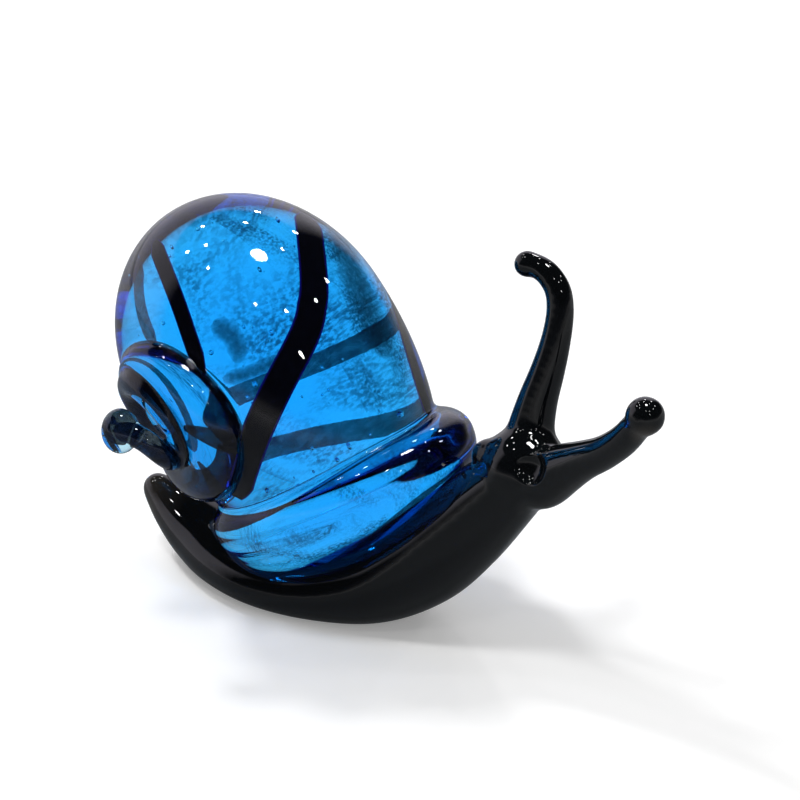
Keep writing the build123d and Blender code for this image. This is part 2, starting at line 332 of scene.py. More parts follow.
class SnailBodySizes(bpy.types.PropertyGroup):
    """Sizes of the black glass."""

    body_length: length("Body length", "Length that the body sections are shares of", 43.5)
    neck_rise: length("Neck rise", "Height of the head's middle above the table", 18.8)
    foot_half_width: length("Foot half width", "Half width of the foot at its widest", 7.7)
    body_half_height: length("Body half height", "Half thickness that the sections are shares of", 4.9)
    head_radius: length("Head radius", "Radius of the head bead", 4.0)
    head_half_length: length("Head half length", "Half length of the head bead along the neck", 4.3)
    neck_slope: angle("Neck slope", "Slope of the neck above the table", 50)
    fold_radius: length("Fold radius", "Radius of the pinched fold behind the head", 1.6)
    rod_mark_radius: length("Rod mark radius", "Radius of the dish that the holding rod left", 1.9)
    rod_mark_depth: length("Rod mark depth", "Depth of that dish", 0.35)
    far_reach: length("Far tentacle reach", "Size that the far tentacle's rows follow", 18.0)
    far_eye_radius: length("Far eye radius", "Radius of the far tentacle's ball", 1.3)
    near_reach: length("Near tentacle reach", "Size that the near tentacle's rows follow", 15.0)
    near_eye_radius: length("Near eye radius", "Radius of the near tentacle's ball", 1.8)


class SnailShellSizes(bpy.types.PropertyGroup):
    """Sizes of the blue glass."""

    whorl_radius: length("Whorl radius", "Radius of the main whorl", 12.9)
    whorl_blunt: length("Blunt half", "Length from the widest ring to the blunt end", 15.5)
    whorl_point: length("Pointed half", "Length from the widest ring to the point", 23.0)
    whorl_slope: angle("Whorl slope", "Slope of the main whorl's axis", 47.9)
    whorl_stand: length("Whorl stand", "Distance of the widest ring above the lip's middle", 16.4)
    whorl_forward: length("Whorl forward", "Shift of the whorl square to its axis", 0.9)
    lip_half_length: length("Lip half length", "Half length of the lip pad", 13.8)
    lip_half_width: length("Lip half width", "Half width of the lip pad", 10.6)
    lip_half_height: length("Lip half height", "Half thickness of the lip pad", 4.9)
    lip_slope: angle("Lip slope", "Slope of the lip pad", 34)
    lip_forward: length("Lip forward", "Distance of the lip's middle ahead of the origin", 4.3)
    lip_left: length("Lip left", "Distance of the lip's middle to the left", 0.9)
    lip_sink: length("Lip sink", "Depth of the lip in the body's saddle", 0.7)
    coil_radius: length("Coil size", "Size that the spire's rows follow", 5.6)
    bead_radius: length("Bead radius", "Radius of the spire's end bead", 1.75)
    bead_half_height: length("Bead half height", "Half height of that bead", 2.15)
    lip_fillet: length("Lip fillet", "Width of the melt between whorl and lip", 0.7)
    spire_fillet: length("Spire fillet", "Width of the melt between the spire's turns", 0.5)
    rim_radius: length("Rim radius", "Radius of the roll round the lip's edge", 2.6)
    rim_rise: length("Rim rise", "Height of that roll above the lip's middle plane", 0.9)
    rim_rear_lift: length("Rim rear lift", "Further rise of that roll at the lip's rear end", 1.6)
    rim_spread: length("Rim spread", "Reach of the roll past the pad's edge", 0.9)
    body_sink: length("Body sink", "Depth that the body reaches into the lip", 0.12)
    cane_depth: length("Cane depth", "Thickness of the canes", 0.75)
    cane_cover: length("Cane cover", "Clear glass over the canes", 0.07)
    bubbles: bpy.props.IntProperty(name="Bubbles", description="Number of seed bubbles", default=90, min=0)


class SnailColours(bpy.types.PropertyGroup):
    """Colours of the glass."""

    blue: tint("Blue", "Colour that the blue glass lets through", (0.012, 0.785, 0.992))
    blue_density: bpy.props.FloatProperty(
        name="Blue density", description="Strength of the blue glass's colour", default=190.0, min=0.0
    )
    cane: tint("Cane", "Colour of the canes", (0.0015, 0.0018, 0.006))
    cane_edge: tint("Cane edge", "Cobalt at the canes' thin edges", (0.012, 0.008, 0.28))
    black: tint("Black", "Colour of the body's glass", (0.0022, 0.0028, 0.0036))
    tail: tint("Tail", "Smoky colour where the tail thins out", (0.030, 0.026, 0.022))
    table: tint("Table", "Colour of the table top", (0.86, 0.86, 0.86))


class SnailStage(bpy.types.PropertyGroup):
    """Camera and lamps."""

    azimuth: angle("Azimuth", "Direction that the camera looks from", 32)
    elevation: angle("Elevation", "Height of the camera above the horizon", 25)
    distance: length("Distance", "Distance from the camera to its target", 300)
    half_view: length("Half view", "Half of what the picture spans at the target", 38.1)
    lamp_distance: length("Lamp distance", "Distance of the lamps", 600)
    key_power: power("Overhead lamp", "Power of the overhead lamp", 1.25)
    key_radius: length("Overhead lamp radius", "Radius of the overhead lamp", 54)
    small_power: power("Small lamps", "Power of each small lamp", 0.09)
    small_radius: length("Small lamp radius", "Radius of each small lamp", 14)
    window_power: power("Window light", "Power of the soft light behind the tail", 1.25)
    window_radius: length("Window light radius", "Radius of that light", 42)
    front_power: power("Front light", "Power of the soft light above and before the figurine", 1.0)
    front_radius: length("Front light radius", "Radius of that light", 60)


def vec(*values):
    """A float array."""
    return np.array(values, dtype=float)


def unit(values):
    """The vector or vectors at length one."""
    values = np.asarray(values, dtype=float)
    return values / np.linalg.norm(values, axis=-1, keepdims=True)


def smooth_rows(rows, steps):
    """Rows of numbers, filled in along a smooth curve through all of them."""
    rows = np.array(rows, dtype=float)
    padded = np.vstack([2 * rows[0] - rows[1], rows, 2 * rows[-1] - rows[-2]])
    filled = []
    for before, start, end, after in zip(padded, padded[1:], padded[2:], padded[3:]):
        bend = 2 * before - 5 * start + 4 * end - after
        twist = 3 * start - before - 3 * end + after
        for t in (step / steps for step in range(steps)):
            filled.append(0.5 * (2 * start + (end - before) * t + bend * t**2 + twist * t**3))
    return np.array([*filled, rows[-1]])


def body_sizes():
    """The black glass's sizes."""
    return bpy.context.scene.snail_body


def shell_sizes():
    """The blue glass's sizes."""
    return bpy.context.scene.snail_shell


def colours():
    """The glass's colours."""
    return bpy.context.scene.snail_colours


class ShellFrame:
    """Places and directions of the blue glass, in metres."""

    def __init__(self):
        size = shell_sizes()
        body = body_sizes()
        _forward, up, high, _wide, _slope = SADDLE_ROW
        saddle_top = up * body.neck_rise + high * body.body_half_height
        self.lip_middle = vec(
            size.lip_forward, size.lip_left, saddle_top + size.lip_half_height - size.lip_sink
        )
        rise = size.lip_slope
        self.lip_axes = np.array([[cos(rise), 0, sin(rise)], [0, 1, 0], [-sin(rise), 0, cos(rise)]])
        self.lip_halves = vec(size.lip_half_length, size.lip_half_width, size.lip_half_height)
        fall = size.whorl_slope
        self.axis = vec(cos(fall), 0, -sin(fall))
        self.lift = vec(sin(fall), 0, cos(fall))
        self.right = vec(0, -1, 0)
        self.middle = self.lip_middle - self.axis * size.whorl_stand + self.lift * size.whorl_forward
        self.seat = size.whorl_stand + WHORL_REACH * MM
        flank = vec(*FLANK)
        viewer = vec(*VIEWER)
        tilt = radians(COIL_TILT)
        self.strap = vec(*STRAP)
        self.out = flank * cos(tilt) + viewer * sin(tilt)
        self.near = viewer * cos(tilt) - flank * sin(tilt)
        flank_share, viewer_share = SPIRE_SHARES
        self.spire = self.middle + (flank * flank_share + viewer * viewer_share) * size.whorl_radius
        self.coil = size.coil_radius
        self.radius = size.whorl_radius
        self.blunt = size.whorl_blunt
        self.point = size.whorl_point

    def lip_rim(self):
        """Middle points and radii of the roll round the lip's edge."""
        size = shell_sizes()
        turn = np.radians(np.linspace(-180, 180, 181))[:, None]
        local = np.hstack(
            [
                np.sin(turn) * (size.lip_half_length - size.rim_radius),
                -np.cos(turn) * (size.lip_half_width - size.rim_radius + size.rim_spread),
                size.rim_rise + size.rim_rear_lift * (1 - np.sin(turn)) / 2,
            ]
        )
        radii = size.rim_radius * (1 + RIM_REAR_GROWTH * (1 - np.sin(turn[:, 0])) / 2)
        return self.lip_middle + local @ self.lip_axes, radii

    def winding(self, rows):
        """Middle points and rod radii of a stretch of the spire."""
        rows = np.atleast_2d(np.array(rows, dtype=float))
        turn = np.radians(rows[:, 0])[:, None]
        lift, ring, thick, shift = (rows[:, k : k + 1] for k in (1, 2, 3, 4))
        along = self.strap * (shift - ring * np.cos(turn))
        inward = self.near * ring * np.sin(turn)
        return self.spire + (self.out * lift + along + inward) * self.coil, thick[:, 0] * self.coil

    def ring(self, along, turn, length_share=1.0, girth_share=1.0):
        """A ring or arc of points on the main whorl's skin, or on a smaller egg inside it."""
        half = self.point if along > 0 else self.blunt
        radial = self.lift * np.cos(turn) + self.right * np.sin(turn)
        out = radial * (sqrt(1 - along**2) * self.radius * girth_share)
        return self.middle + self.axis * along * half * length_share + out

    def skin(self, along, degrees):
        """A point on the main whorl's skin, and the direction square to the skin there."""
        half = self.point if along > 0 else self.blunt
        girth = sqrt(max(1 - along**2, 0.0))
        radial = self.lift * cos(radians(degrees)) + self.right * sin(radians(degrees))
        place = self.middle + self.axis * along * half + radial * girth * self.radius
        return place, unit(self.axis * (along / half) + radial * (girth / self.radius))


def ball_field(middle, axes, halves, points):
    """Rough distance from an ellipsoid, and its direction, for many points."""
    local = (points - middle) @ axes.T
    scaled = np.linalg.norm(local / halves, axis=1)
    steep = np.linalg.norm(local / halves**2, axis=1)
    return scaled * (scaled - 1) / np.maximum(steep, 1e-9), unit(local / halves**2) @ axes


def egg_field(place, points):
    """Rough distance from the main whorl's skin, and its direction."""
    axes = np.array([place.axis, place.lift, place.right])
    along = ((points - place.middle) @ axes.T)[:, 0]
    half = np.where(along > 0, place.point, place.blunt)
    girth = np.full(len(points), place.radius)
    halves = np.stack([half, girth, girth], axis=1)
    distance, slope = ball_field(place.middle, axes, halves, points)
    beyond = along - place.seat
    cut = beyond > distance
    return np.where(cut, beyond, distance), np.where(cut[:, None], place.axis, slope)


def mouth_field(place, rim, points):
    """Distance from the main whorl melted into the lip and its roll, and its direction."""
    size = shell_sizes()
    pad = ball_field(place.lip_middle, place.lip_axes, place.lip_halves, points)
    lip = melt(pad, rim.field(points), size.spire_fillet)
    return melt(egg_field(place, points), lip, size.lip_fillet)


class Rod:
    """A round rod along a smooth path, as a distance field."""

    def __init__(self, middles, radii):
        self.middles = middles
        self.radii = radii
        self.heading = unit(np.gradient(middles, axis=0))
        pace = np.linalg.norm(np.gradient(middles, axis=0), axis=1)
        self.bend = np.gradient(self.heading, axis=0) / pace[:, None]
        self.taper = np.gradient(radii) / pace
        self.tree = kdtree.KDTree(len(middles))
        for index, middle in enumerate(middles):
            self.tree.insert(middle, index)
        self.tree.balance()

    def field(self, points):
        """Distance from the rod's skin, and its direction."""
        index = np.array([self.tree.find(point)[1] for point in points])
        offset = np.sum((points - self.middles[index]) * self.heading[index], axis=1)
        last = len(self.middles) - 1
        offset = np.where((index == 0) | (index == last), 0.0, offset)
        middle = self.middles[index] + self.heading[index] * offset[:, None]
        middle = middle + self.bend[index] * (0.5 * offset**2)[:, None]
        away = points - middle
        far = np.linalg.norm(away, axis=1)
        return far - self.radii[index] - self.taper[index] * offset, away / np.maximum(far, 1e-9)[:, None]


def melt(first, second, width):
    """Joins two distance fields with a rounded melt of the given width."""
    (a, slope_a), (b, slope_b) = first, second
    overlap = np.maximum(width - np.abs(a - b), 0.0) / width
    weight = np.where(a < b, 1 - overlap / 2, overlap / 2)[:, None]
    return np.minimum(a, b) - overlap**2 * width / 4, slope_a * weight + slope_b * (1 - weight)


def ring_mesh(rings, closed=True):
    """Vertices and faces of a tube through rings of equal length, or of a sheet through arcs."""
    count = len(rings[0])
    verts = [tuple(point) for ring in rings for point in ring]
    faces = []
    for row in range(len(rings) - 1):
        low, high = row * count, (row + 1) * count
        for k in range(count if closed else count - 1):
            after = (k + 1) % count
            faces.append((low + k, low + after, high + after, high + k))
    if closed:
        faces.append(tuple(range(count - 1, -1, -1)))
        faces.append(tuple((len(rings) - 1) * count + k for k in range(count)))
    return verts, faces


def rod_mesh(middles, radii, sides, up):
    """A round tube along a path."""
    heading = unit(np.gradient(middles, axis=0))
    rings = []
    for middle, radius, way in zip(middles, radii, heading):
        across = unit(np.cross(up, way))
        other = np.cross(way, across)
        turn = np.linspace(0, 2 * pi, sides, endpoint=False)[:, None]
        rings.append(middle + radius * (across * np.cos(turn) + other * np.sin(turn)))
    return ring_mesh(rings)


def ball_mesh(middle, axes, halves, rings=24, sides=48):
    """An ellipsoid."""
    turn = np.linspace(0, 2 * pi, sides, endpoint=False)[:, None]
    loops = []
    for step in range(1, rings):
        fall = pi * step / rings
        around = [sin(fall) * np.cos(turn), sin(fall) * np.sin(turn)]
        local = np.hstack([np.full((sides, 1), -cos(fall)), *around])
        loops.append(middle + (local * halves) @ axes)
    return ring_mesh(loops)


def joined(parts):
    """Several vertex and face lists as one."""
    verts, faces = [], []
    for part_verts, part_faces in parts:
        base = len(verts)
        verts.extend(part_verts)
        faces.extend(tuple(index + base for index in face) for face in part_faces)
    return verts, faces


def placed(name, data):
    """A new object in the scene."""
    made = bpy.data.objects.new(name, data)
    bpy.context.scene.collection.objects.link(made)
    return made


def new_mesh(name, verts, faces):
    """A new mesh from vertices and faces."""
    mesh = bpy.data.meshes.new(name)
    mesh.from_pydata(verts, [], faces)
    return mesh


def new_piece(name, verts, faces, material, slot):
    """A smooth-shaded mesh piece that rides with the figurine."""
    mesh = new_mesh(name, verts, faces)
    mesh.polygons.foreach_set("use_smooth", [True] * len(mesh.polygons))
    mesh.materials.append(material)
    mesh.update()
    piece = placed(name, mesh)
    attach(piece, ROOT)
    return piece


def fused_skin(parts, voxel):
    """Points, faces and edges of one closed skin round several overlapping solids."""
    mesh = new_mesh("fusing", *joined(parts))
    blank = placed("fusing", mesh)
    remesh = blank.modifiers.new("fuse", "REMESH")
    remesh.mode = "VOXEL"
    remesh.voxel_size = voxel * MM
    graph = bpy.context.evaluated_depsgraph_get()
    skin = bpy.data.meshes.new_from_object(blank.evaluated_get(graph))
    if not skin.polygons:
        raise RuntimeError("The parts to fuse made no skin")
    points = np.empty(len(skin.vertices) * 3)
    skin.vertices.foreach_get("co", points)
    quads = [tuple(polygon.vertices) for polygon in skin.polygons]
    edges = np.empty(len(skin.edges) * 2, dtype=int)
    skin.edges.foreach_get("vertices", edges)
    bpy.data.objects.remove(blank)
    bpy.data.meshes.remove(mesh)
    bpy.data.meshes.remove(skin)
    return points.reshape(-1, 3), quads, edges.reshape(-1, 2)


def relaxed(points, edges, times, weight=0.5):
    """Points moved towards the middle of their neighbours."""
    count = np.bincount(edges.ravel(), minlength=len(points))[:, None]
    for _ in range(times):
        total = np.zeros_like(points)
        np.add.at(total, edges[:, 0], points[edges[:, 1]])
        np.add.at(total, edges[:, 1], points[edges[:, 0]])
        points = points + weight * (total / count - points)
    return points


def add_group(name, inputs, outputs):
    """An empty shader node group with named sockets."""
    group = bpy.data.node_groups.new(name, "ShaderNodeTree")
    for label, kind, value in inputs:
        socket = group.interface.new_socket(label, in_out="INPUT", socket_type=kind)
        socket.default_value = value
    for label, kind in outputs:
        group.interface.new_socket(label, in_out="OUTPUT", socket_type=kind)
    return group, group.nodes.new("NodeGroupInput"), group.nodes.new("NodeGroupOutput")


def fill(tree, made, inputs):
    """Links a node's inputs to outputs, or sets them to plain values."""
    for key, value in inputs.items():
        if isinstance(value, bpy.types.NodeSocket):
            tree.links.new(value, made.inputs[key])
        else:
            made.inputs[key].default_value = value


def node(tree, kind, inputs=None, **settings):
    """A shader node with its settings and inputs."""
    made = tree.nodes.new("ShaderNode" + kind)
    for name, value in settings.items():
        setattr(made, name, value)
    fill(tree, made, inputs or {})
    return made


def maths(tree, operation, *values, **settings):
    """A value worked out from others."""
    made = node(tree, "Math", dict(enumerate(values)), operation=operation, **settings)
    return made.outputs["Value"]


def vector_math(tree, operation, output, *values):
    """A direction or a value worked out from directions."""
    made = node(tree, "VectorMath", dict(enumerate(values)), operation=operation)
    return made.outputs[output]


def noise(tree, place, scale, detail=2.0, distortion=0.0):
    """A cloudy value."""
    inputs = {"Vector": place, "Scale": scale, "Detail": detail, "Distortion": distortion}
    return node(tree, "TexNoise", inputs).outputs["Fac"]


def remap(tree, source, low=0.0, high=1.0, start=0.0, end=1.0):
    """A value stretched from the range start to end to the range low to high."""
    inputs = {"Value": source, "From Min": start, "From Max": end, "To Min": low, "To Max": high}
    return node(tree, "MapRange", inputs).outputs["Result"]


def mixed(tree, factor, first, second):
    """Two colours mixed by a value."""
    inputs = {"Factor": factor, "A": first, "B": second}
    return node(tree, "Mix", inputs, data_type="RGBA").outputs["Result"]


def rgba(colour):
    """A colour with full alpha, from three numbers or from one for a grey."""
    return (colour, colour, colour, 1.0) if isinstance(colour, float) else (*colour, 1.0)


def ramp(tree, source, stops):
    """A colour that a value picks from a row of stops."""
    made = node(tree, "ValToRGB", {"Fac": source})
    elements = made.color_ramp.elements
    for element, (position, colour) in zip(elements, (stops[0], stops[-1])):
        element.position, element.color = position, rgba(colour)
    for position, colour in stops[1:-1]:
        elements.new(position).color = rgba(colour)
    return made.outputs["Color"]


def fire_polish_group():
    """Slow waves and fine seed marks that hand-worked glass keeps in its skin."""
    found = bpy.data.node_groups.get("fire_polish")
    if found:
        return found
    group, given, out = add_group(
        "fire_polish",
        [
            ("Wave size", "NodeSocketFloat", 120.0),
            ("Wave depth", "NodeSocketFloat", 1.0),
            ("Seed size", "NodeSocketFloat", 1500.0),
            ("Seed depth", "NodeSocketFloat", 0.1),
        ],
        [("Height", "NodeSocketFloat"), ("Haze", "NodeSocketFloat")],
    )
    sizes = given.outputs
    place = node(group, "TexCoord").outputs["Object"]
    waves = maths(group, "MULTIPLY", noise(group, place, sizes["Wave size"], 1.5), sizes["Wave depth"])
    seeds = noise(group, place, sizes["Seed size"])
    height = maths(group, "MULTIPLY_ADD", seeds, sizes["Seed depth"], waves)
    fill(group, out, {"Height": height, "Haze": seeds})
    return group


def glass_base(name, wave_size, seed_size, seed_depth, bump_distance):
    """A material whose normal carries the fire-polish waves, with their haze for other inputs."""
    material = bpy.data.materials.new(name)
    material.use_nodes = True
    tree = material.node_tree
    shader = tree.nodes["Principled BSDF"]
    polish = node(tree, "Group", node_tree=fire_polish_group())
    sizes = {"Wave size": wave_size, "Seed size": seed_size, "Seed depth": seed_depth}
    fill(tree, polish, sizes)
    surface = {"Strength": 1.0, "Distance": bump_distance, "Height": polish.outputs["Height"]}
    fill(tree, shader, {"Normal": node(tree, "Bump", surface).outputs["Normal"]})
    return material, tree, shader, polish.outputs["Haze"]


def blue_glass():
    """Transparent blue glass, coloured all through, with faint clouds in its tint."""
    material, tree, shader, haze = glass_base("blue_glass", 90.0, 1400.0, 0.02, 0.00012)
    place = node(tree, "TexCoord").outputs["Object"]
    clouds = noise(tree, place, 160.0, 4.0, 1.2)
    tints = ramp(tree, clouds, [(0.30, (0.88, 0.94, 0.98)), (0.70, (0.98, 0.99, 1.0))])
    surface = {
        "Base Color": tints,
        "Roughness": remap(tree, haze, 0.0, 0.03),
        "Transmission Weight": 1.0,
        "IOR": 1.5,
    }
    fill(tree, shader, surface)
    inner = {"Color": rgba(colours().blue), "Density": colours().blue_density}
    inside = node(tree, "VolumeAbsorption", inner).outputs["Volume"]
    fill(tree, tree.nodes["Material Output"], {"Volume": inside})
    return material


def cane_glass(name, cover=None, feather=False):
    """Blue-black cane with cobalt edges, solid, or sheer over the given range of alpha."""
    material, tree, shader, haze = glass_base(name, 260.0, 2200.0, 0.2, 0.0001)
    edge = node(tree, "Attribute", attribute_name="thin").outputs["Fac"]
    stops = [(0.0, colours().cane), (0.72, colours().cane), (1.0, colours().cane_edge)]
    surface = {
        "Base Color": ramp(tree, edge, stops),
        "Roughness": remap(tree, haze, 0.18, 0.35),
        "Specular IOR Level": 0.0,
    }
    fill(tree, shader, surface)
    if cover:
        alpha = remap(tree, haze, *cover)
        if feather:
            alpha = maths(tree, "MULTIPLY", alpha, remap(tree, edge, 1.0, 0.0))
        fill(tree, shader, {"Alpha": alpha})
    return material


def black_glass():
    """Opaque black glass, smoky where the tail thins out and at the near eye's clear tip."""
    material, tree, shader, haze = glass_base("black_glass", 130.0, 1800.0, 0.03, 0.00009)
    place = node(tree, "TexCoord").outputs["Object"]
    forward = node(tree, "SeparateXYZ", {"Vector": place}).outputs["X"]
    tail = remap(tree, forward, 0.0, 1.0, *TAIL_SMOKE)
    away = vector_math(tree, "DISTANCE", "Value", place, EYE_TIP)
    tip = remap(tree, away, 0.0, 1.0, *EYE_CLEARING)
    smoke = remap(tree, noise(tree, place, 420.0), 0.2, 1.6)
    patch = maths(tree, "MULTIPLY", maths(tree, "MAXIMUM", tail, tip), smoke)
    surface = {
        "Base Color": ramp(tree, patch, [(0.0, colours().black), (1.0, colours().tail)]),
        "Roughness": remap(tree, haze, 0.0, 0.06),
        "IOR": 1.5,
    }
    fill(tree, shader, surface)
    return material


def veil_glass(name, tilt):
    """Streaky darker glass that the gather was rolled over, broken up by fine seeds."""
    material, tree, shader, _haze = glass_base(name, 200.0, 3000.0, 0.5, 0.0001)
    place = node(tree, "TexCoord").outputs["Object"]
    pulled = {"Vector": place, "Rotation": (0.0, tilt, radians(20)), "Scale": (0.35, 1.0, 1.0)}
    streaks = noise(tree, node(tree, "Mapping", pulled).outputs["Vector"], 190.0, 3.0, 1.4)
    seeds = noise(tree, place, 4200.0)
    patches = ramp(tree, streaks, [(0.44, 0.03), (0.66, 0.75)])
    specks = ramp(tree, seeds, [(0.40, 0.15), (0.62, 1.0)])
    surface = {
        "Base Color": ramp(tree, seeds, [(0.3, (0.0, 0.004, 0.03)), (0.7, (0.004, 0.03, 0.11))]),
        "Alpha": maths(tree, "MULTIPLY", patches, specks),
        "Specular IOR Level": 0.0,
    }
    fill(tree, shader, surface)
    return material


def painted_shade_core_glass():
    """Dark navy core of the spire's last turns and end bead, a painted shade."""
    material, tree, shader, haze = glass_base("painted_shade_core_glass", 300.0, 2600.0, 0.4, 0.0001)
    surface = {
        "Base Color": ramp(tree, haze, [(0.35, (0.001, 0.002, 0.010)), (0.68, (0.004, 0.016, 0.060))]),
        "Alpha": remap(tree, haze, 0.55, 1.0),
        "Specular IOR Level": 0.0,
    }
    fill(tree, shader, surface)
    return material


def tentacle_parts(rows, reach, head, eye_radius, sides):
    """A tentacle's rod and its end ball."""
    filled = smooth_rows(rows, 10)
    middles = head + filled[:, :3] * reach
    ball = ball_mesh(middles[-1], np.eye(3), vec(eye_radius, eye_radius, eye_radius))
    return [rod_mesh(middles, filled[:, 3] * reach, sides, vec(0.1, 1, 0)), ball]


class SNAIL_OT_black_body(bpy.types.Operator):
    """Makes the fused skin of the body, head, tentacles and eyes"""

    bl_idname = "snail.black_body"
    bl_label = "Black Glass Body"

    def execute(self, context):
        size = body_sizes()
        rings = []
        turn = np.linspace(0, 2 * pi, 72, endpoint=False)[:, None]
        for forward, up, high, wide, slope in smooth_rows(BODY_ROWS, 8):
            middle = vec(forward * size.body_length, 0, up * size.neck_rise)
            upward = vec(-sin(radians(slope)), 0, cos(radians(slope)))
            ring = middle + vec(0, 1, 0) * wide * size.foot_half_width * np.cos(turn)
            ring = ring + upward * high * size.body_half_height * np.sin(turn)
            ring[:, 2] = np.maximum(ring[:, 2], 0.0)
            rings.append(ring)
        head = vec(BODY_ROWS[-1][0] * size.body_length, 0, size.neck_rise)
        neck = size.neck_slope
        axes = np.array([[cos(neck), 0, sin(neck)], [0, 1, 0], [-sin(neck), 0, cos(neck)]])
        halves = vec(size.head_half_length, size.head_radius, size.head_radius)
        fold = head + vec(*FOLD_PLACE) * size.head_radius
        fold_halves = np.full(3, size.fold_radius)
        parts = [ring_mesh(rings), ball_mesh(head, axes, halves), ball_mesh(fold, np.eye(3), fold_halves)]
        parts += tentacle_parts(FAR_TENTACLE_ROWS, size.far_reach, head, size.far_eye_radius, 40)
        parts += tentacle_parts(NEAR_TENTACLE_ROWS, size.near_reach, head, size.near_eye_radius, 40)
        points, faces, edges = fused_skin(parts, BLACK_VOXEL)
        points = relaxed(points, edges, BLACK_FLOW)
        out = size.head_radius + size.rod_mark_radius - size.rod_mark_depth
        mark = head + unit(ROD_MARK_WAY) * out
        away = points - mark
        far = np.linalg.norm(away, axis=1)
        dished = far < size.rod_mark_radius
        points[dished] = mark + away[dished] * (size.rod_mark_radius / far[dished])[:, None]
        points = relaxed(points, edges, 2)
        sink = shell_sizes().body_sink
        place = ShellFrame()
        rim = Rod(*place.lip_rim())
        for _ in range(FITTING_ROUNDS):
            distance, slope = mouth_field(place, rim, points)
            points = points - slope * np.minimum(distance + sink, 0.0)[:, None]
        points = relaxed(points, edges, 1)
        points[points[:, 2] < PRESSED_BELOW * MM, 2] = 0.0
        piece = new_piece("black_glass_body", points.tolist(), faces, black_glass(), "black_glass")
        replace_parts(piece, *BLACK_NODES)
        return {"FINISHED"}


def seed_bubbles(place, count):
    """Small voids inside the main whorl, some of them in a cluster, with their normals."""
    rng = random.Random(11)
    bubbles = []
    whorl_axes = np.array([place.axis, place.lift, place.right])
    for _ in range(count):
        along = rng.uniform(-0.75, 0.62)
        degrees = rng.uniform(0, 360)
        depth = rng.uniform(0.12, 0.9)
        skin, _normal = place.skin(along, degrees)
        core = place.middle + place.axis * along * (place.point if along > 0 else place.blunt)
        radius = rng.choice((0.05, 0.06, 0.08, 0.1, 0.16)) * MM
        halves = vec(radius * rng.uniform(1.0, 2.4), radius, radius)
        bubbles.append((skin + (core - skin) * depth, whorl_axes, halves))
    for _ in range(CLUSTER_BUBBLES):
        skin, normal = place.skin(rng.gauss(0.01, 0.035), rng.gauss(49, 4))
        radius = rng.choice((0.05, 0.07, 0.09)) * MM
        middle = skin - normal * rng.uniform(0.3, 1.0) * MM
        bubbles.append((middle, np.eye(3), np.full(3, radius)))
    parts, normals = [], []
    for middle, axes, halves in bubbles:
        verts, faces = ball_mesh(middle, axes, halves, 6, 8)
        parts.append((verts, [tuple(reversed(face)) for face in faces]))
        normals.append(unit(middle - np.array(verts)))
    return parts, normals


class SNAIL_OT_shell(bpy.types.Operator):
    """Makes the fused skin of the whorls, the lip and the spire, with seed bubbles inside"""

    bl_idname = "snail.shell"
    bl_label = "Blue Glass Shell"

    def execute(self, context):
        size = shell_sizes()
        place = ShellFrame()
        turn = np.linspace(0, 2 * pi, 120, endpoint=False)[:, None]
        slopes = [radians(degrees) for degrees in range(0, 90, 3)]
        stations = [-cos(slope) for slope in slopes[1:]]
        stations += [sin(slope) for slope in slopes if sin(slope) * place.point < place.seat]
        pad = ball_mesh(place.lip_middle, place.lip_axes, place.lip_halves, 36, 72)
        parts = [ring_mesh([place.ring(along, turn) for along in stations]), pad]
        rods = []
        for rows in (SECOND_WHORL_ROWS, THIRD_WHORL_ROWS, FOURTH_WHORL_ROWS):
            middles, radii = place.winding(smooth_rows(rows, 40))
            parts.append(rod_mesh(middles[::4], radii[::4], 40, place.out))
            rods.append(Rod(middles, radii))
        rim_middles, rim_radii = place.lip_rim()
        parts.append(rod_mesh(rim_middles[::3], rim_radii[::3], 40, place.lip_axes[2]))
        rim = Rod(rim_middles, rim_radii)
        bead = place.winding([BEAD_ROW])[0][0]
        upright = np.array([[0.0, 0.0, 1.0], [1.0, 0.0, 0.0], [0.0, 1.0, 0.0]])
        bead_halves = vec(size.bead_half_height, size.bead_radius, size.bead_radius)
        parts.append(ball_mesh(bead, upright, bead_halves))
        points, faces, edges = fused_skin(parts, BLUE_VOXEL)
        points = relaxed(points, edges, 4)
        for _ in range(FITTING_ROUNDS):
            field = mouth_field(place, rim, points)
            for rod in rods:
                field = melt(field, rod.field(points), size.spire_fillet)
            end = ball_field(bead, upright, bead_halves, points)
            distance, slope = melt(field, end, size.spire_fillet)
            steep = np.maximum(np.sum(slope**2, axis=1), LEAST_STEEP)
            points = points - slope * (distance / steep)[:, None]
        bubbles, normals = seed_bubbles(place, size.bubbles)
        verts, faces = joined([(points.tolist(), faces), *bubbles])
        piece = new_piece("blue_glass_shell", verts, faces, blue_glass(), "blue_glass")
        normals = np.vstack([unit(slope), *normals])
        piece.data.normals_split_custom_set_from_vertices(normals.tolist())
        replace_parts(piece, *BLUE_NODES)
        return {"FINISHED"}


